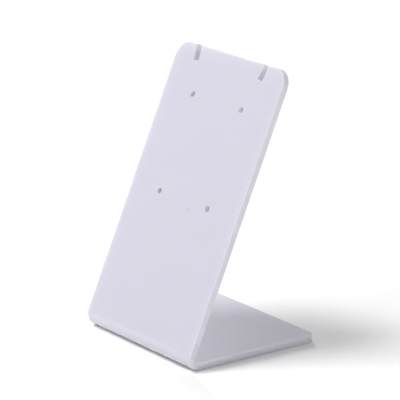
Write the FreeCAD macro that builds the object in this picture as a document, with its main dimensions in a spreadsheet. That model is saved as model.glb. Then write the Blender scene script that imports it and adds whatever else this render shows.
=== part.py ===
# Earring display stand: one acrylic sheet, heat-bent once into a leaning panel
# over a flat base plate.
#
# Frame: X runs across the width, with +X to the right of someone who faces the panel.
# Y runs from front to back and Z points up. The origin lies on the surface that the
# stand rests on, at the middle of the footprint.

import FreeCAD
import Part
import Sketcher
import math
import os
from FreeCAD import Placement, Rotation, Vector

SHEET = "Dimensions"

# Driving dimensions in millimetres, angles in degrees
DIMENSIONS = [
    ("sheet_width", 45.0, "width of the sheet, the same in the panel and the base"),
    ("sheet_thickness", 2.0, "thickness of the flat sheet"),
    ("footprint_depth", 40.0, "from the front of the bend to the base's back edge"),
    ("panel_length", 74.0, "flat length of the panel, from the bend to its top edge"),
    ("lean_angle", 23.7, "angle that the panel leans back from upright"),
    ("bend_outer_radius", 3.3, "radius outside the bend, stretched round by the heat"),
    ("bend_inner_radius", 0.4, "radius inside the bend, nearly sharp"),
    ("panel_corner_radius", 4.6, "radius of the panel's two top corners"),
    ("base_corner_radius", 2.5, "radius of the base's two back corners"),
    ("edge_round", 0.25, "radius along every outer edge of the sheet"),
    ("hole_diameter", 1.6, "earring holes, square through the panel"),
    ("hole_spacing", 20.5, "between the two holes of a pair, across the panel"),
    ("top_pair_drop", 12.7, "from the top edge down the panel to the upper pair"),
    ("pair_spacing", 26.1, "from the upper pair down the panel to the lower pair"),
    ("slot_width", 2.0, "width of the two slots in the top edge"),
    ("slot_depth", 4.3, "depth of a slot along its own centre line"),
    ("slot_spacing", 28.3, "between the slots' centre lines at the top edge"),
    ("slant_angle", 10.5, "angle that each slot opens outwards from the panel's length"),
    ("slot_corner_radius", 0.3, "radius in the two inner corners of a slot"),
]

# Turn between two faces, in degrees, above which their shared edge is a sharp one
SHARP_ANGLE = 30.0
# How close two values are when they count as the same
MATCH = 1e-3


def add_dimensions(doc):
    """The sheet of driving dimensions: name, value and meaning in each row."""
    sheet = doc.addObject("Spreadsheet::Sheet", SHEET)
    for row, (name, value, meaning) in enumerate(DIMENSIONS, start=1):
        sheet.set(f"A{row}", name)
        sheet.set(f"B{row}", str(value))
        sheet.setAlias(f"B{row}", name)
        sheet.set(f"C{row}", meaning)
    doc.recompute()
    return sheet


def size(expression):
    """Writes each name between < and > as a reference to the dimension sheet."""
    return expression.replace("<", f"{SHEET}.").replace(">", "")


def origin_plane(body, role):
    """The body's own origin plane with the given role."""
    return next(item for item in body.Origin.OriginFeatures if item.Role == role)


def add_sketch(body, name, role):
    """An empty sketch on one of the body's origin planes."""
    sketch = body.newObject("Sketcher::SketchObject", name)
    sketch.AttachmentSupport = [(origin_plane(body, role), "")]
    sketch.MapMode = "FlatFace"
    return sketch


def constraint(kind, *items):
    """A sketch constraint, with words for an element's points and for the sketch's own axes."""
    numbers = {"start": 1, "end": 2, "centre": 3, "root": -1, "x axis": -1, "y axis": -2}
    return Sketcher.Constraint(kind, *(numbers.get(item, item) for item in items))


def drive(sketch, name, expression, *items):
    """Adds a named dimension to a sketch and binds it to the dimension sheet."""
    index = sketch.addConstraint(constraint(*items))
    sketch.renameConstraint(index, name)
    sketch.setExpression(f"Constraints.{name}", size(expression))


def relate(sketch, *relations):
    """Adds geometric relations, such as tangency, to a sketch."""
    for relation in relations:
        sketch.addConstraint(constraint(*relation))


def line(sketch, start, end):
    """Adds a straight line between two (x, y) points and returns its index."""
    return sketch.addGeometry(Part.LineSegment(Vector(*start, 0), Vector(*end, 0)))


def arc(sketch, centre, radius, start_angle, end_angle):
    """Adds an arc, anticlockwise between two angles in degrees, and returns its index."""
    circle = Part.Circle(Vector(*centre, 0), Vector(0, 0, 1), radius)
    return sketch.addGeometry(
        Part.ArcOfCircle(circle, math.radians(start_angle), math.radians(end_angle))
    )


# Points of a sketch element, and the elements that every sketch has
START, END, CENTRE = "start", "end", "centre"
ROOT, X_AXIS, Y_AXIS = "root", "x axis", "y axis"


def draw_profile(body, value):
    """Side view of the bent sheet, a closed band in the YZ plane.

    Panel and base are straight stretches of one thickness. Outside they are joined by a
    round bend and inside by a nearly sharp one, as in a sheet heated along one narrow
    line, so the two arcs have centres of their own. The inner centre lies one inner
    radius from both inner faces. That is nearer the front than the outer centre, by
    (outer radius - thickness - inner radius) * (1 + sin lean) / cos lean.
    """
    thick = value("sheet_thickness")
    outer = value("bend_outer_radius")
    inner = value("bend_inner_radius")
    lean = math.radians(value("lean_angle"))
    back = value("footprint_depth") / 2
    length = value("panel_length")
    along = (math.sin(lean), math.cos(lean))
    outward = (-math.cos(lean), math.sin(lean))
    centre = (outer - back, outer)
    shift = (outer - thick - inner) * (1 + math.sin(lean)) / math.cos(lean)
    inner_centre = (centre[0] - shift, thick + inner)

    def off(point, out, up):
        return tuple(p + out * n + up * u for p, n, u in zip(point, outward, along))

    front_foot = off(centre, outer, 0)
    front_top = off(centre, outer, length)
    back_top = off(centre, outer - thick, length)
    back_foot = off(inner_centre, inner, 0)
    panel_turn = 180 - value("lean_angle")

    sketch = add_sketch(body, "SheetProfile", "YZ_Plane")
    underside = line(sketch, (back, 0), (centre[0], 0))
    outer_arc = arc(sketch, centre, outer, panel_turn, 270)
    front = line(sketch, front_foot, front_top)
    top_edge = line(sketch, front_top, back_top)
    rear = line(sketch, back_top, back_foot)
    inner_arc = arc(sketch, inner_centre, inner, panel_turn, 270)
    base_top = line(sketch, (inner_centre[0], thick), (back, thick))
    back_edge = line(sketch, (back, thick), (back, 0))

    relate(
        sketch,
        ("Tangent", underside, END, outer_arc, END),
        ("Tangent", outer_arc, START, front, START),
        ("Coincident", front, END, top_edge, START),
        ("Coincident", top_edge, END, rear, START),
        ("Tangent", rear, END, inner_arc, START),
        ("Tangent", inner_arc, END, base_top, START),
        ("Coincident", base_top, END, back_edge, START),
        ("Coincident", back_edge, END, underside, START),
        ("PointOnObject", underside, START, X_AXIS),
        ("Horizontal", underside),
        ("Horizontal", base_top),
        ("Vertical", back_edge),
        ("Parallel", front, rear),
        ("Perpendicular", front, top_edge),
    )
    drive(sketch, "back_reach", "<footprint_depth> / 2",
          "DistanceX", ROOT, START, underside, START, back)
    drive(sketch, "front_reach", "<footprint_depth> / 2 - <bend_outer_radius>",
          "DistanceX", outer_arc, CENTRE, ROOT, START, -centre[0])
    drive(sketch, "outer_radius", "<bend_outer_radius>", "Radius", outer_arc, outer)
    drive(sketch, "inner_radius", "<bend_inner_radius>", "Radius", inner_arc, inner)
    drive(sketch, "panel_thickness", "<sheet_thickness>", "Distance", top_edge, thick)
    drive(sketch, "base_thickness", "<sheet_thickness>", "Distance", back_edge, thick)
    drive(sketch, "flat_length", "<panel_length>", "Distance", front, length)
    drive(sketch, "slope", "90 - <lean_angle>",
          "Angle", X_AXIS, START, front, START, math.radians(90 - value("lean_angle")))
    return sketch


def place_on_panel(sketch):
    """Lays a sketch on the panel's front face: x across, y up the panel from the top edge.

    The face leans back, so the sketch's plane is turned about X. Its origin is the
    middle of the panel's top edge, and points further down the panel have negative y.
    """
    bend = size("<bend_outer_radius>")
    lean = size("<lean_angle>")
    length = size("<panel_length>")
    front = size("<footprint_depth> / 2")
    sketch.AttachmentOffset = Placement(Vector(0, 0, 0), Rotation(Vector(1, 0, 0), -1))
    sketch.setExpression("AttachmentOffset.Rotation.Angle", f"-{lean}")
    sketch.setExpression(
        "AttachmentOffset.Base.y", f"{bend} * (1 + sin({lean})) + {length} * cos({lean})"
    )
    sketch.setExpression(
        "AttachmentOffset.Base.z",
        f"{front} - {bend} + {bend} * cos({lean}) - {length} * sin({lean})",
    )


def draw_slot(body, value):
    """One slot of the top edge, to the right: a narrow slanted rectangle, open upwards."""
    half = value("slot_width") / 2
    depth = value("slot_depth")
    round_in = value("slot_corner_radius")
    slant = math.radians(value("slant_angle"))
    mouth = (value("slot_spacing") / 2, 0)
    above = value("slot_width")

    def at(across, up):
        return (
            mouth[0] + across * math.cos(slant) + up * math.sin(slant),
            mouth[1] - across * math.sin(slant) + up * math.cos(slant),
        )

    tilt = -value("slant_angle")
    sketch = add_sketch(body, "SlotOutline", "XZ_Plane")
    place_on_panel(sketch)
    left = line(sketch, at(-half, above), at(-half, round_in - depth))
    left_round = arc(sketch, at(round_in - half, round_in - depth), round_in, 180 + tilt, 270 + tilt)
    floor = line(sketch, at(round_in - half, -depth), at(half - round_in, -depth))
    right_round = arc(sketch, at(half - round_in, round_in - depth), round_in, 270 + tilt, 360 + tilt)
    right = line(sketch, at(half, round_in - depth), at(half, above))
    lid = line(sketch, at(half, above), at(-half, above))
    middle = line(sketch, at(0, 0), at(0, -depth))
    sketch.toggleConstruction(middle)

    relate(
        sketch,
        ("Tangent", left, END, left_round, START),
        ("Tangent", left_round, END, floor, START),
        ("Tangent", floor, END, right_round, START),
        ("Tangent", right_round, END, right, START),
        ("Coincident", right, END, lid, START),
        ("Coincident", lid, END, left, START),
        ("Perpendicular", left, floor),
        ("Parallel", left, right),
        ("Perpendicular", right, lid),
        ("Equal", left_round, right_round),
        ("PointOnObject", middle, START, X_AXIS),
        ("Parallel", middle, left),
        ("Symmetric", floor, START, floor, END, middle, END),
    )
    drive(sketch, "mouth", "<slot_spacing> / 2", "DistanceX", ROOT, START, middle, START, mouth[0])
    drive(sketch, "slant", "90 - <slant_angle>",
          "Angle", X_AXIS, START, middle, END, math.radians(90 - value("slant_angle")))
    drive(sketch, "depth", "<slot_depth>", "Distance", middle, depth)
    drive(sketch, "corner", "<slot_corner_radius>", "Radius", left_round, round_in)
    drive(sketch, "width", "<slot_width>", "Distance", lid, 2 * half)
    drive(sketch, "wall", "<slot_depth> - <slot_corner_radius> + <slot_width>",
          "Distance", left, depth - round_in + above)
    return sketch


def draw_holes(body, value):
    """Centres and rims of the four earring holes, in two level pairs."""
    radius = value("hole_diameter") / 2
    across = value("hole_spacing") / 2
    upper = -value("top_pair_drop")
    lower = upper - value("pair_spacing")
    sketch = add_sketch(body, "HoleCentres", "XZ_Plane")
    place_on_panel(sketch)
    rims = [
        sketch.addGeometry(Part.Circle(Vector(x, y, 0), Vector(0, 0, 1), radius))
        for y in (upper, lower)
        for x in (-across, across)
    ]
    upper_left, upper_right, lower_left, lower_right = rims
    relate(
        sketch,
        ("Symmetric", upper_left, CENTRE, upper_right, CENTRE, Y_AXIS),
        ("Symmetric", lower_left, CENTRE, lower_right, CENTRE, Y_AXIS),
        ("Vertical", upper_left, CENTRE, lower_left, CENTRE),
        ("Equal", upper_left, upper_right),
        ("Equal", upper_left, lower_left),
        ("Equal", upper_left, lower_right),
    )
    drive(sketch, "bore", "<hole_diameter>", "Diameter", upper_left, 2 * radius)
    drive(sketch, "pair", "<hole_spacing>",
          "DistanceX", upper_left, CENTRE, upper_right, CENTRE, 2 * across)
    drive(sketch, "drop", "<top_pair_drop>", "DistanceY", upper_left, CENTRE, ROOT, START, -upper)
    drive(sketch, "rows", "<pair_spacing>",
          "DistanceY", lower_left, CENTRE, upper_left, CENTRE, upper - lower)
    return sketch


def corner_edges(shape, thickness, low, high):
    """Names of the short edges through the sheet whose middle height is in a range."""
    names = []
    for number, edge in enumerate(shape.Edges, start=1):
        middle = edge.CenterOfMass
        short = abs(edge.Length - thickness) < MATCH
        upright = abs(edge.tangentAt(edge.FirstParameter).x) < MATCH
        if short and upright and low < middle.z < high:
            names.append(f"Edge{number}")
    return names


def normal_at(face, point):
    """Outward normal of a face at a point that lies on it."""
    return face.normalAt(*face.Surface.parameter(point))


def sharp_edges(shape):
    """Names of the edges where two faces meet at more than SHARP_ANGLE."""
    names = []
    for number, edge in enumerate(shape.Edges, start=1):
        point = edge.valueAt((edge.FirstParameter + edge.LastParameter) / 2)
        faces = [face for face in shape.Faces if any(e.isSame(edge) for e in face.Edges)]
        if len(faces) != 2:
            continue
        turn = math.degrees(normal_at(faces[0], point).getAngle(normal_at(faces[1], point)))
        if turn > SHARP_ANGLE:
            names.append(f"Edge{number}")
    return names


def add_fillet(body, name, base, edges, radius):
    """Rounds the named edges of a feature with a radius from the dimension sheet."""
    fillet = body.newObject("PartDesign::Fillet", name)
    fillet.Base = (base, edges)
    fillet.setExpression("Radius", size(radius))
    body.Document.recompute()
    return fillet


def build_folded_sheet(doc, sheet):
    """The whole stand, which is one piece of sheet."""

    def value(name):
        return float(sheet.get(name))

    thickness = value("sheet_thickness")
    bend_top = 2 * value("bend_outer_radius")

    body = doc.addObject("PartDesign::Body", "FoldedSheet")
    body.Label = "folded_sheet"
    body.Placement = Placement(Vector(0, 0, 0), Rotation())

    # Bent band across the whole width
    profile = draw_profile(body, value)
    doc.recompute()
    band = body.newObject("PartDesign::Pad", "BentBand")
    band.Profile = profile
    band.SideType = "Symmetric"
    band.setExpression("Length", size("<sheet_width>"))
    doc.recompute()

    # Rounded corners, then the rounding along every outer edge
    high_corners = corner_edges(band.Shape, thickness, bend_top, math.inf)
    panel_corners = add_fillet(body, "PanelCorners", band, high_corners, "<panel_corner_radius>")
    low_corners = corner_edges(panel_corners.Shape, thickness, 0, thickness)
    base_corners = add_fillet(body, "BaseCorners", panel_corners, low_corners, "<base_corner_radius>")
    outline = sharp_edges(base_corners.Shape)
    add_fillet(body, "EdgeRounding", base_corners, outline, "<edge_round>")

    # Slanted slots in the top edge: the right one, and its mirror image
    slot_outline = draw_slot(body, value)
    doc.recompute()
    slot = body.newObject("PartDesign::Pocket", "Slot")
    slot.Profile = slot_outline
    slot.Type = "ThroughAll"
    doc.recompute()
    slots = body.newObject("PartDesign::Mirrored", "SlotPair")
    slots.Originals = [slot]
    slots.MirrorPlane = (origin_plane(body, "YZ_Plane"), [""])
    body.Tip = slots
    doc.recompute()

    # Earring holes
    centres = draw_holes(body, value)
    doc.recompute()
    holes = body.newObject("PartDesign::Hole", "EarringHoles")
    holes.Profile = centres
    doc.recompute()
    holes.Threaded = False
    holes.HoleCutType = "None"
    holes.DepthType = "ThroughAll"
    holes.setExpression("Diameter", size("<hole_diameter>"))
    body.Tip = holes
    doc.recompute()
    return body


def check(doc, parts):
    """Stops the build if any object failed, or a piece has no valid solid."""
    failed = [item.Name for item in doc.Objects if {"Invalid", "Error"} & set(item.State)]
    if failed:
        raise RuntimeError(f"failed objects: {failed}")
    loose = [
        item.Name for item in doc.Objects
        if item.TypeId == "Sketcher::SketchObject" and not item.FullyConstrained
    ]
    if loose:
        raise RuntimeError(f"sketches that are not fully constrained: {loose}")
    for part in parts:
        shape = part.Shape
        if shape.isNull() or not shape.isValid() or len(shape.Solids) != 1:
            raise RuntimeError(f"{part.Label} is not one valid solid")


def main():
    doc = FreeCAD.newDocument("EarringDisplayStand")
    sheet = add_dimensions(doc)
    parts = [build_folded_sheet(doc, sheet)]
    doc.recompute()
    check(doc, parts)
    os.makedirs("parts", exist_ok=True)
    for part in parts:
        part.Shape.exportStep(f"parts/{part.Label}.step")
        box = part.Shape.optimalBoundingBox(False, False)
        print(f"{part.Label}: volume {part.Shape.Volume:.1f} mm3,"
              f" box {box.XLength:.2f} x {box.YLength:.2f} x {box.ZLength:.2f} mm")


main()
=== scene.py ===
"""Earring display stand: the bent acrylic sheet, its finish, a pale floor, soft lamps and the camera.

Everything is in metres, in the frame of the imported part: X across the stand's width, with +X to
the right of someone who faces the panel, Y from front to back and Z up. The stand rests on Z = 0.
The sheet is worked out in its own flat coordinates first: "across" is X, and "run" follows the
sheet, negative on the base, 0 where the bend starts, and up the panel after the bend.
"""

import bpy
import math
import numpy as np
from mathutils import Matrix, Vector
from mathutils.geometry import delaunay_2d_cdt


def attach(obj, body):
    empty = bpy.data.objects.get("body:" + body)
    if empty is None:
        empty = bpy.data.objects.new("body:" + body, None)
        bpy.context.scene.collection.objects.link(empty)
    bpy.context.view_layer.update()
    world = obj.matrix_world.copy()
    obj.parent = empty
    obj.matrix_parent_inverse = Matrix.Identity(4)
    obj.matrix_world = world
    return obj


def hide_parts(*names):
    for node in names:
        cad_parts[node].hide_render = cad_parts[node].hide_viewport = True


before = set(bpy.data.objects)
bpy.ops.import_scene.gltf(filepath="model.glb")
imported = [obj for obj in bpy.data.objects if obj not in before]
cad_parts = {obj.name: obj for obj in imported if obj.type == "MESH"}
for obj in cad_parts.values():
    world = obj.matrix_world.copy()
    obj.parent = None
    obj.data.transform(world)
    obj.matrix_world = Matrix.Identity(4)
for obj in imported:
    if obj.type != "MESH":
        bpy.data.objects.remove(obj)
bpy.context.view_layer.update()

MM = 0.001

# The sheet, as in the part's source
SHEET_WIDTH = 45.0 * MM
THICKNESS = 2.0 * MM
FOOTPRINT_DEPTH = 40.0 * MM
PANEL_LENGTH = 74.0 * MM
LEAN = math.radians(23.7)
OUTER_RADIUS = 3.3 * MM
INNER_RADIUS = 0.4 * MM
PANEL_CORNER = 4.6 * MM
BASE_CORNER = 2.5 * MM
EDGE_ROUND = 0.25 * MM

# Holes and slots of the panel, as in the part's source
HOLE_RADIUS = 0.8 * MM
HOLE_SPACING = 20.5 * MM
TOP_PAIR_DROP = 12.7 * MM
PAIR_SPACING = 26.1 * MM
SLOT_WIDTH = 2.0 * MM
SLOT_DEPTH = 4.3 * MM
SLOT_SPACING = 28.3 * MM
SLOT_SLANT = math.radians(10.5)
SLOT_CORNER = 0.3 * MM

# Worked out from those
TURN = math.pi / 2 + LEAN
BEND_Y = OUTER_RADIUS - FOOTPRINT_DEPTH / 2
BEND_RUN = OUTER_RADIUS * TURN
BASE_RUN = FOOTPRINT_DEPTH - OUTER_RADIUS
TOP_RUN = BEND_RUN + PANEL_LENGTH

# Steps of the mesh along each arc
ROUND_STEPS = 6
CORNER_STEPS = 20
BEND_STEPS = 64
HOLE_STEPS = 48

# Two places along the sheet that are this near count as the same, and points are welded when
# their coordinates in metres agree to this many decimals
NEAR = 1e-9
WELD_DECIMALS = 8

# Triangulation of the flat faces: keep what lies inside the outline, join points that are nearer
# than this in millimetres, and drop a hole's own triangles, whose middles lie within its rim
KEEP_INSIDE = 1
JOIN_POINTS = 1e-6
RIM_SHARE = 0.9999

# Finish of the acrylic: linear colours, lengths and roughness
BODY_WHITE = (0.711, 0.695, 0.780, 1)
CLOUD_WHITE = (0.708, 0.692, 0.777, 1)
SMUDGE_GREY = (0.650, 0.637, 0.710, 1)
SCATTER_LENGTH = 2.6 * MM
REFRACTION = 1.49
ROUGHNESS = 0.38
ROUGHNESS_SPREAD = 0.06
CUT_ROUGHER = 0.1
RIPPLE_HEIGHT = 0.0004 * MM
CUT_MARK_DEPTH = 0.001 * MM

# Scales of its patterns, in cycles per metre. Cutter marks change more slowly through the sheet
# than along its edge, by the factor CUT_MARK_STRETCH.
CLOUD_SCALE = 70.0
GLOSS_SCALE = 240.0
RIPPLE_SCALE = 260.0
SMUDGE_SCALE = 1800.0
CUT_MARK_SCALE = 6000.0
CUT_MARK_STRETCH = 0.04

# Noise between which one white turns into the other
CLOUD_START = 0.35
CLOUD_STOP = 0.65

# A smudge fades out while the distance from its centre, in radii, plus a noise of about 0.5 goes
# from the first value to the second
SMUDGE_START = 0.5
SMUDGE_STOP = 1.5

# Faint smudges on the panel: place across, drop from the top edge, and radius
SMUDGES = (
    (3.4 * MM, 40.6 * MM, 1.1 * MM),
    (15.2 * MM, 29.5 * MM, 0.5 * MM),
    (7.1 * MM, 6.0 * MM, 0.5 * MM),
    (20.6 * MM, 20.3 * MM, 0.4 * MM),
)

# Floor: half its width, its white for the light that it gives back, and its white where it is seen
FLOOR_HALF = 3.0
PAPER_WHITE = (0.9, 0.9, 0.9, 1)
SEEN_WHITE = (1, 1, 1, 1)

# Camera, in degrees and metres
AZIMUTH = 53.718
ELEVATION = 16.278
DISTANCE = 0.6769
AIM = Vector((-0.00053, 0.00015, 0.03565))
LENS_MM = 239.75
SENSOR_MM = 36.0
NEAREST_SEEN = 0.05
FARTHEST_SEEN = 20.0

# Lamps: name, azimuth, elevation, width and height in metres, share of the light
LAMP_DISTANCE = 1.6
LAMP_TARGET = Vector((0, 0, 0.03))
LAMPS = (
    ("key_high", 336, 70, 0.51, 0.51, 0.205),
    ("key_left", 312, 58, 0.51, 0.51, 0.410),
    ("front_low", 346, 36, 0.39, 0.39, 0.290),
    ("left_side", 248, 27, 0.37, 0.37, 0.370),
    ("rear_left", 220, 45, 0.80, 0.80, 0.120),
    ("right_side", 97, 32, 1.49, 0.80, 0.440),
)

# Names of the sheet's mesh data that its finish reads
CUT_EDGE = "cut_edge"
SHEET_MAP = "sheet"


def bend_axes(angle):
    """Outward normal and forward direction, in Y and Z, after the sheet has turned by an angle.

    The underside starts with its normal down and its direction to the front, and both turn
    together: normal (-sin a, -cos a), direction (-cos a, sin a).
    """
    normal = np.stack([-np.sin(angle), -np.cos(angle)], axis=-1)
    along = np.stack([-np.cos(angle), np.sin(angle)], axis=-1)
    return normal, along


def outer_skin(run):
    """Y and Z on the outer skin at a run along the sheet, with its normal and direction.

    Run is negative on the base, 0 where the bend starts, BEND_RUN where it ends. The point is
    the bend's centre plus the outer radius along the normal, plus the straight run before or
    after the bend along the direction there.
    """
    normal, along = bend_axes(np.clip(run, 0, BEND_RUN) / OUTER_RADIUS)
    straight = np.minimum(run, 0) + np.maximum(run - BEND_RUN, 0)
    point = np.array([BEND_Y, OUTER_RADIUS]) + OUTER_RADIUS * normal + straight[..., None] * along
    return point, normal, along


def inner_skin(run):
    """Y and Z on the inner skin at a run, with its normal towards the outer skin and its direction.

    The inside of the bend is nearly sharp: the two flats go on for a quarter of the bend's run
    each, and an arc of the small inner radius takes the half between them.
    """
    share = np.clip(run, 0, BEND_RUN) / BEND_RUN
    normal, along = bend_axes(TURN * np.clip(2 * share - 0.5, 0, 1))
    flat = (OUTER_RADIUS - THICKNESS - INNER_RADIUS) * math.tan(TURN / 2)
    before = flat * (np.minimum(4 * share, 1) - 1) + np.minimum(run, 0)
    after = flat * np.maximum(4 * share - 3, 0) + np.maximum(run - BEND_RUN, 0)
    centre = np.array([BEND_Y - flat, THICKNESS + INNER_RADIUS])
    point = centre + INNER_RADIUS * normal + (before + after)[..., None] * along
    return point, normal, along


def in_space(across, point):
    """X, Y and Z from a place across the sheet and a point in Y and Z."""
    across = np.broadcast_to(across, point.shape[:-1])
    return np.concatenate([across[..., None], point], axis=-1)


def arc_path(centre, radius, start, stop, steps):
    """Places on an arc, and the directions away from its centre: centre + r (cos a, sin a)."""
    angle = np.radians(np.linspace(start, stop, steps + 1))
    away = np.stack([np.cos(angle), np.sin(angle)], axis=-1)
    return np.array(centre) + radius * away, away


def mirrored(vectors):
    """The same places or directions on the left half, in the opposite order."""
    return vectors[::-1] * (-1, 1)


def outside_path():
    """The sheet's edge from the right slot down the right side, round the base and up again.

    Gives places (across, run), the directions out of the sheet and the insets, which say how a
    place moves when the edge is rounded by one unit: straight in, or down the slot's wall where
    the top edge ends at a slot.
    """
    half = SHEET_WIDTH / 2
    mouth = SLOT_SPACING / 2 + SLOT_WIDTH / 2 / math.cos(SLOT_SLANT)
    top_centre = (half - PANEL_CORNER, TOP_RUN - PANEL_CORNER)
    base_centre = (half - BASE_CORNER, BASE_CORNER - BASE_RUN)
    top = arc_path(top_centre, PANEL_CORNER, 90, 0, CORNER_STEPS)
    base = arc_path(base_centre, BASE_CORNER, 0, -90, CORNER_STEPS)
    bend = np.linspace(BEND_RUN, 0, BEND_STEPS + 1)
    side = np.stack([np.full_like(bend, half), bend], axis=-1)
    place = np.concatenate([[(mouth, TOP_RUN)], top[0], side, base[0]])
    out = np.concatenate([[(0, 1)], top[1], np.tile([1, 0], (len(side), 1)), base[1]])
    inset = -out.astype(float)
    inset[0] = (-math.tan(SLOT_SLANT), -1)
    return tuple(np.concatenate([part, mirrored(part)]) for part in (place, out, inset))


def middle_path():
    """The top edge between the two slots, as places, directions out and insets."""
    mouth = SLOT_SPACING / 2 - SLOT_WIDTH / 2 / math.cos(SLOT_SLANT)
    slope = math.tan(SLOT_SLANT)
    place = np.array([(-mouth, TOP_RUN), (mouth, TOP_RUN)])
    out = np.array([(0.0, 1.0), (0.0, 1.0)])
    inset = np.array([(slope, -1), (-slope, -1)])
    return place, out, inset


def slot_path():
    """The right slot's wall, from its right mouth round its floor to its left mouth.

    In the slot's own axes the floor's corners are arcs of SLOT_CORNER, and the axes are turned by
    the slant. A wall's direction out points into the slot.
    """
    half = SLOT_WIDTH / 2
    low = SLOT_CORNER - SLOT_DEPTH
    right = arc_path((half - SLOT_CORNER, low), SLOT_CORNER, 0, -90, ROUND_STEPS)
    left = arc_path((SLOT_CORNER - half, low), SLOT_CORNER, -90, -180, ROUND_STEPS)
    cos, sin, slope = math.cos(SLOT_SLANT), math.sin(SLOT_SLANT), math.tan(SLOT_SLANT)
    turn = np.array([(cos, -sin), (sin, cos)])
    mouths = [(half, half * slope), (-half, -half * slope)]
    place = np.concatenate([mouths[:1], right[0], left[0], mouths[1:]])
    out = -np.concatenate([right[1][:1], right[1], left[1], left[1][-1:]])
    inset = np.zeros_like(place)
    inset[[0, -1]] = (-slope, -1)
    return place @ turn + (SLOT_SPACING / 2, TOP_RUN), out @ turn, inset


def grid_faces(rows, columns):
    """Quads of a grid of points, row by row."""
    first = (np.arange(rows - 1)[:, None] * columns + np.arange(columns - 1)).ravel()
    return np.stack([first, first + 1, first + columns + 1, first + columns], axis=-1)


def grid(points, normals, flat, cut):
    """A patch from a grid of points, with their normals, map places and cut edge values."""
    rows, columns = points.shape[:2]
    return (
        points.reshape(-1, 3),
        normals.reshape(-1, 3),
        flat.reshape(-1, 2),
        np.broadcast_to(cut, (rows, columns)).ravel(),
        grid_faces(rows, columns),
    )


def lengths(place):
    """Length along a path up to each of its places."""
    steps = np.linalg.norm(np.diff(place, axis=0), axis=1)
    return np.concatenate([[0.0], np.cumsum(steps)])


def edge_patch(path, rounded):
    """The sheet's cut edge: a profile through its thickness, carried along a path.

    The profile turns through an angle a from the outer skin (0) to the edge (90 degrees) and
    back to the inner skin. With edge radius r it lies r (1 - sin a) in from the edge and
    r (1 - cos a) under the nearer skin, and its normal is the direction out times sin a plus the
    skin's normal times cos a. A slot's wall is square: its normal is the direction out, and only
    its two ends follow the rounded edge.
    """
    place, out, inset = path
    turn = np.radians(np.linspace(0, 90, ROUND_STEPS + 1))
    sides = []
    for skin, angle, way in ((outer_skin, turn, 1), (inner_skin, turn[::-1], -1)):
        inward = EDGE_ROUND * (1 - np.sin(angle))
        deep = EDGE_ROUND * (1 - np.cos(angle))
        moved = place[:, None] + inward[:, None] * inset[:, None]
        point, normal, along = skin(moved[..., 1])
        outward = in_space(out[:, None, 0], out[:, None, 1:] * along)
        face = in_space(0.0, way * normal)
        sine = np.sin(angle)[:, None] if rounded else 1.0
        cosine = np.cos(angle)[:, None] if rounded else 0.0
        sides.append((
            in_space(moved[..., 0], point - way * deep[:, None] * normal),
            outward * sine + face * cosine,
            deep if way == 1 else THICKNESS - deep,
            np.sin(angle),
        ))
    points, normals, levels, edge = zip(*sides)
    flat = np.stack(np.meshgrid(lengths(place), np.concatenate(levels), indexing="ij"), axis=-1)
    cut = np.concatenate(edge) if rounded else 1.0
    return grid(np.concatenate(points, axis=1), np.concatenate(normals, axis=1), flat, cut)


def bend_patches():
    """Outer and inner skin of the bend: straight across, and round the bend's arcs."""
    run = np.linspace(0, BEND_RUN, BEND_STEPS + 1)[:, None] * np.ones(2)
    across = np.array([-1, 1]) * (SHEET_WIDTH / 2 - EDGE_ROUND)
    for skin, way in ((outer_skin, 1), (inner_skin, -1)):
        point, normal, _ = skin(run)
        flat = np.stack([np.broadcast_to(across, run.shape), run], axis=-1)
        yield grid(in_space(across, point), in_space(0.0, way * normal), flat, 0.0)


def rim(across, run):
    """A hole's rim on the panel, as places."""
    return arc_path((across, run), HOLE_RADIUS, 0, 360, HOLE_STEPS)[0][:-1]


def hole_centres():
    """Places of the four earring holes, in two level pairs under the top edge."""
    return [
        (side * HOLE_SPACING / 2, TOP_RUN - drop)
        for drop in (TOP_PAIR_DROP, TOP_PAIR_DROP + PAIR_SPACING)
        for side in (-1, 1)
    ]


def hole_patch(centre):
    """A hole's wall: the rim carried through the sheet, its normals towards the hole's axis."""
    place, away = arc_path(centre, HOLE_RADIUS, 0, 360, HOLE_STEPS)
    points, normals = [], []
    for skin in (outer_skin, inner_skin):
        point, _, along = skin(place[:, 1])
        points.append(in_space(place[:, 0], point))
        normals.append(-in_space(away[:, 0], away[:, 1:] * along))
    flat = np.stack(np.meshgrid(lengths(place), [0, THICKNESS], indexing="xy"), axis=-1)
    return grid(np.stack(points), np.stack(normals), flat, 1.0)


def flat_patches(outline, holes=()):
    """Outer and inner skin inside a closed outline, less the holes, as flat triangles."""
    loops = [outline, *holes]
    starts = np.cumsum([0] + [len(loop) for loop in loops[:-1]])
    edges = [
        (start + i, start + (i + 1) % len(loop))
        for start, loop in zip(starts, loops)
        for i in range(len(loop))
    ]
    places = np.concatenate(loops)
    points = [Vector(place) for place in places / MM]
    _, _, faces, sources, *_ = delaunay_2d_cdt(points, edges, [], KEEP_INSIDE, JOIN_POINTS)
    found = places[[source[0] for source in sources]]
    faces = np.array(faces)
    for hole in holes:
        from_centre = found[faces].mean(axis=1) - hole.mean(axis=0)
        faces = faces[np.linalg.norm(from_centre, axis=1) > RIM_SHARE * HOLE_RADIUS]
    uncut = np.zeros(len(found))
    for skin, way in ((outer_skin, 1), (inner_skin, -1)):
        point, normal, _ = skin(found[:, 1])
        yield in_space(found[:, 0], point), in_space(0.0, way * normal), found, uncut, faces


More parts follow.
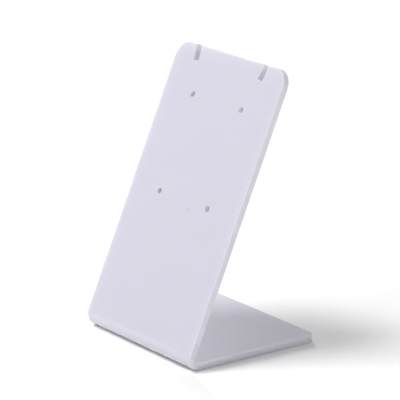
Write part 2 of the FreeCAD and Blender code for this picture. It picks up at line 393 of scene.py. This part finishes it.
def sheet_patches():
    """Every patch of the sheet's surface: points, normals, map places, cut edge values, faces."""
    outside, slot = outside_path(), slot_path()
    yield edge_patch(outside, True)
    yield edge_patch(middle_path(), True)
    yield edge_patch(slot, False)
    yield edge_patch([mirrored(part) for part in slot], False)
    yield from bend_patches()
    centres = hole_centres()
    for centre in centres:
        yield hole_patch(centre)

    place = outside[0] + EDGE_ROUND * outside[2]
    right = place[:len(place) // 2]
    panel = right[right[:, 1] >= BEND_RUN - NEAR][::-1]
    base = right[right[:, 1] <= NEAR]
    notch = slot[0] + EDGE_ROUND * slot[2]
    panel = np.concatenate([panel, notch])
    yield from flat_patches(np.concatenate([panel, mirrored(panel)]), [rim(*c) for c in centres])
    yield from flat_patches(np.concatenate([base, mirrored(base)]))


def build_sheet():
    """One closed mesh from the patches, turned outwards, with its exact normals at every corner."""
    parts = []
    first = 0
    for point, normal, flat, cut, face in sheet_patches():
        corner = point[face]
        facing = np.cross(corner[:, 1] - corner[:, 0], corner[:, 2] - corner[:, 0])
        inward = (facing * normal[face].mean(axis=1)).sum(axis=1) < 0
        face = np.where(inward[:, None], face[:, ::-1], face)
        parts.append((point, normal, flat, cut, face + first))
        first += len(point)
    *columns, faces = zip(*parts)
    points, normals, flats, cuts = (np.concatenate(column) for column in columns)
    corners = np.concatenate([face.ravel() for face in faces])
    welded = np.round(points, WELD_DECIMALS)
    kept, place = np.unique(welded, axis=0, return_inverse=True)
    place = place.ravel()

    mesh = bpy.data.meshes.new("acrylic_sheet")
    mesh.from_pydata(kept, [], [row for face in faces for row in place[face].tolist()])
    mesh.shade_smooth()
    mesh.uv_layers.new(name=SHEET_MAP).uv.foreach_set("vector", flats[corners].ravel())
    edge = mesh.attributes.new(CUT_EDGE, "FLOAT", "CORNER")
    edge.data.foreach_set("value", cuts[corners])
    mesh.normals_split_custom_set(normals[corners])
    return mesh


def node_group(name, inputs, outputs):
    """An empty shader node group with named sockets, and its input and output nodes."""
    group = bpy.data.node_groups.new(name, "ShaderNodeTree")
    for label, kind, value in inputs:
        socket = group.interface.new_socket(label, in_out="INPUT", socket_type=kind)
        socket.default_value = value
    for label, kind in outputs:
        group.interface.new_socket(label, in_out="OUTPUT", socket_type=kind)
    return group, group.nodes.new("NodeGroupInput"), group.nodes.new("NodeGroupOutput")


def feed(tree, socket, value):
    """Links a socket from another socket, or gives it a plain value."""
    if isinstance(value, bpy.types.NodeSocket):
        tree.links.new(value, socket)
    else:
        socket.default_value = value


def maths(tree, operation, *values):
    """The result of one maths operation on sockets or plain values."""
    node = tree.nodes.new("ShaderNodeMath")
    node.operation = operation
    for socket, value in zip(node.inputs, values):
        feed(tree, socket, value)
    return node.outputs["Value"]


def blend(tree, share, first, second):
    """The first colour at share 0, the second at share 1, and their mix between."""
    node = tree.nodes.new("ShaderNodeMix")
    node.data_type = "RGBA"
    for name, value in (("Factor", share), ("A", first), ("B", second)):
        feed(tree, node.inputs[name], value)
    return node.outputs["Result"]


def rise(tree, value, start, stop, kind):
    """0 up to a start value, 1 from a stop value on, and a rise between them."""
    node = tree.nodes.new("ShaderNodeMapRange")
    node.interpolation_type = kind
    for name, given in (("Value", value), ("From Min", start), ("From Max", stop)):
        feed(tree, node.inputs[name], given)
    return node.outputs["Result"]


def noise(tree, place, scale, detail=2.0):
    """Noise from 0 to 1 at a place, in cycles per metre."""
    node = tree.nodes.new("ShaderNodeTexNoise")
    node.inputs["Detail"].default_value = detail
    node.inputs["Scale"].default_value = scale
    tree.links.new(place, node.inputs["Vector"])
    return node.outputs["Fac"]


def object_place(tree):
    """The place on the piece itself, in metres."""
    return tree.nodes.new("ShaderNodeTexCoord").outputs["Object"]


def cloudy_tone():
    """Two close whites in soft clouds, as pigment settles in a cast sheet."""
    group, given, made = node_group(
        "cloudy_tone",
        [("Body", "NodeSocketColor", BODY_WHITE), ("Cloud", "NodeSocketColor", CLOUD_WHITE)],
        [("Colour", "NodeSocketColor")],
    )
    clouds = noise(group, object_place(group), CLOUD_SCALE)
    share = rise(group, clouds, CLOUD_START, CLOUD_STOP, "LINEAR")
    tone = blend(group, share, given.outputs["Body"], given.outputs["Cloud"])
    group.links.new(tone, made.inputs["Colour"])
    return group


def smudge():
    """One soft mark: 1 at its centre, falling to 0 at its radius, ragged at its edge."""
    group, given, made = node_group(
        "smudge",
        [("Centre", "NodeSocketVector", (0, 0, 0)), ("Radius", "NodeSocketFloat", MM)],
        [("Mask", "NodeSocketFloat")],
    )
    place = object_place(group)
    distance = group.nodes.new("ShaderNodeVectorMath")
    distance.operation = "DISTANCE"
    group.links.new(place, distance.inputs[0])
    group.links.new(given.outputs["Centre"], distance.inputs[1])
    radii = maths(group, "DIVIDE", distance.outputs["Value"], given.outputs["Radius"])
    ragged = maths(group, "ADD", radii, noise(group, place, SMUDGE_SCALE))
    outside = rise(group, ragged, SMUDGE_START, SMUDGE_STOP, "SMOOTHSTEP")
    group.links.new(maths(group, "SUBTRACT", 1.0, outside), made.inputs["Mask"])
    return group


def satin_gloss():
    """Roughness that wanders about its mean, as it does on a wiped plastic surface."""
    group, given, made = node_group(
        "satin_gloss",
        [
            ("Mean", "NodeSocketFloat", ROUGHNESS),
            ("Spread", "NodeSocketFloat", ROUGHNESS_SPREAD),
            ("Cut Edge", "NodeSocketFloat", 0.0),
            ("Cut Extra", "NodeSocketFloat", CUT_ROUGHER),
        ],
        [("Roughness", "NodeSocketFloat")],
    )
    texture = noise(group, object_place(group), GLOSS_SCALE, detail=4.0)
    wander = maths(group, "SUBTRACT", texture, 0.5)
    skin = maths(group, "MULTIPLY_ADD", wander, given.outputs["Spread"], given.outputs["Mean"])
    cut = maths(group, "MULTIPLY_ADD", given.outputs["Cut Edge"], given.outputs["Cut Extra"], skin)
    group.links.new(cut, made.inputs["Roughness"])
    return group


def surface_height():
    """Height in metres: a slow ripple of the sheet, and fine cutter marks across its cut edge.

    The cutter marks are waves along the edge's own length, which the sheet's UV map holds.
    """
    group, given, made = node_group(
        "surface_height",
        [
            ("Ripple", "NodeSocketFloat", RIPPLE_HEIGHT),
            ("Cut Edge", "NodeSocketFloat", 0.0),
            ("Cut Depth", "NodeSocketFloat", CUT_MARK_DEPTH),
            ("Along Edge", "NodeSocketVector", (0, 0, 0)),
        ],
        [("Height", "NodeSocketFloat")],
    )
    waves = noise(group, object_place(group), RIPPLE_SCALE, detail=1.0)
    ripple = maths(group, "MULTIPLY", waves, given.outputs["Ripple"])
    stretch = group.nodes.new("ShaderNodeMapping")
    stretch.inputs["Scale"].default_value = (1.0, CUT_MARK_STRETCH, 1.0)
    group.links.new(given.outputs["Along Edge"], stretch.inputs["Vector"])
    marks = noise(group, stretch.outputs["Vector"], CUT_MARK_SCALE, detail=1.0)
    depth = maths(group, "MULTIPLY", marks, given.outputs["Cut Depth"])
    height = maths(group, "MULTIPLY_ADD", depth, given.outputs["Cut Edge"], ripple)
    group.links.new(height, made.inputs["Height"])
    return group


def place_group(tree, group):
    """A node of a material's tree that runs one of the groups."""
    node = tree.nodes.new("ShaderNodeGroup")
    node.node_tree = group
    return node


def white_acrylic():
    """Opaque white acrylic with a faint lavender tone, which lets a little light spread inside."""
    material = bpy.data.materials.new("satin_white_acrylic")
    material.use_nodes = True
    tree = material.node_tree
    shader = tree.nodes["Principled BSDF"]
    shader.inputs["Subsurface Weight"].default_value = 1.0
    shader.inputs["Subsurface Radius"].default_value = (1.0, 1.0, 1.0)
    shader.inputs["Subsurface Scale"].default_value = SCATTER_LENGTH
    shader.inputs["IOR"].default_value = REFRACTION

    edge = tree.nodes.new("ShaderNodeAttribute")
    edge.attribute_name = CUT_EDGE
    along = tree.nodes.new("ShaderNodeUVMap")
    along.uv_map = SHEET_MAP

    colour = place_group(tree, cloudy_tone()).outputs["Colour"]
    mark = smudge()
    for across, drop, radius in SMUDGES:
        point, _, _ = outer_skin(np.array(TOP_RUN - drop))
        spot = place_group(tree, mark)
        spot.inputs["Centre"].default_value = (across, point[0], point[1])
        spot.inputs["Radius"].default_value = radius
        colour = blend(tree, spot.outputs["Mask"], colour, SMUDGE_GREY)
    tree.links.new(colour, shader.inputs["Base Color"])

    gloss = place_group(tree, satin_gloss())
    tree.links.new(edge.outputs["Fac"], gloss.inputs["Cut Edge"])
    tree.links.new(gloss.outputs["Roughness"], shader.inputs["Roughness"])

    height = place_group(tree, surface_height())
    bump = tree.nodes.new("ShaderNodeBump")
    bump.inputs["Distance"].default_value = 1.0
    tree.links.new(edge.outputs["Fac"], height.inputs["Cut Edge"])
    tree.links.new(along.outputs["UV"], height.inputs["Along Edge"])
    tree.links.new(height.outputs["Height"], bump.inputs["Height"])
    tree.links.new(bump.outputs["Normal"], shader.inputs["Normal"])
    return material


def floor_white():
    """Matt white paper: a little grey in the light it gives back, plain white where it is seen."""
    material = bpy.data.materials.new("floor_white")
    material.use_nodes = True
    tree = material.node_tree
    shader = tree.nodes["Principled BSDF"]
    shader.inputs["Roughness"].default_value = 1.0
    shader.inputs["Specular IOR Level"].default_value = 0.0
    ray = tree.nodes.new("ShaderNodeLightPath").outputs
    seen = maths(tree, "MAXIMUM", ray["Is Camera Ray"], ray["Is Glossy Ray"])
    seen = maths(tree, "MAXIMUM", seen, ray["Is Transmission Ray"])
    white = blend(tree, seen, PAPER_WHITE, SEEN_WHITE)
    tree.links.new(white, shader.inputs["Base Color"])
    return material


def make_sheet():
    """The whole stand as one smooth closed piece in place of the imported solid."""
    mesh = build_sheet()
    mesh.materials.append(white_acrylic())
    sheet = bpy.data.objects.new("acrylic_sheet", mesh)
    bpy.context.scene.collection.objects.link(sheet)
    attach(sheet, "root")
    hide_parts("folded_sheet")


def make_floor():
    """A wide level square under the stand."""
    signs = ((-1, -1), (1, -1), (1, 1), (-1, 1))
    corners = [(x * FLOOR_HALF, y * FLOOR_HALF, 0) for x, y in signs]
    mesh = bpy.data.meshes.new("floor")
    mesh.from_pydata(corners, [], [(0, 1, 2, 3)])
    mesh.materials.append(floor_white())
    floor = bpy.data.objects.new("floor", mesh)
    bpy.context.scene.collection.objects.link(floor)


def direction(azimuth, elevation):
    """Unit vector towards a place round the stand: azimuth 0 is the front, 90 its right side."""
    turn = math.radians(azimuth)
    lift = math.radians(elevation)
    return Vector((
        math.sin(turn) * math.cos(lift),
        -math.cos(turn) * math.cos(lift),
        math.sin(lift),
    ))


def look_at_stand(item, target, azimuth, elevation, distance):
    """Puts a camera or lamp into the scene, at a distance from a point and facing it."""
    back = direction(azimuth, elevation)
    item.location = target + back * distance
    item.rotation_mode = "QUATERNION"
    item.rotation_quaternion = (-back).to_track_quat("-Z", "Y")
    bpy.context.scene.collection.objects.link(item)


def make_camera():
    """A long lens that looks from the front right, a little from above."""
    data = bpy.data.cameras.new("camera")
    data.lens = LENS_MM
    data.sensor_width = SENSOR_MM
    data.clip_start = NEAREST_SEEN
    data.clip_end = FARTHEST_SEEN
    camera = bpy.data.objects.new("camera", data)
    look_at_stand(camera, AIM, AZIMUTH, ELEVATION, DISTANCE)
    bpy.context.scene.camera = camera


def make_lamp(name, azimuth, elevation, width, height, share):
    """A soft box. Its share is the light that it gives a white card facing it at the stand.

    A card of albedo 1 has brightness 1 when a lamp of power (pi times distance) squared faces it.
    """
    data = bpy.data.lights.new(name, "AREA")
    data.shape = "RECTANGLE"
    data.size = width
    data.size_y = height
    data.energy = (math.pi * LAMP_DISTANCE) ** 2 * share
    lamp = bpy.data.objects.new(name, data)
    look_at_stand(lamp, LAMP_TARGET, azimuth, elevation, LAMP_DISTANCE)


def dark_world():
    """No light but the lamps'."""
    world = bpy.data.worlds.new("world")
    world.use_nodes = True
    world.node_tree.nodes["Background"].inputs["Strength"].default_value = 0.0
    bpy.context.scene.world = world


make_sheet()
make_floor()
make_camera()
dark_world()
for lamp in LAMPS:
    make_lamp(*lamp)
bpy.context.scene.view_settings.view_transform = "Standard"
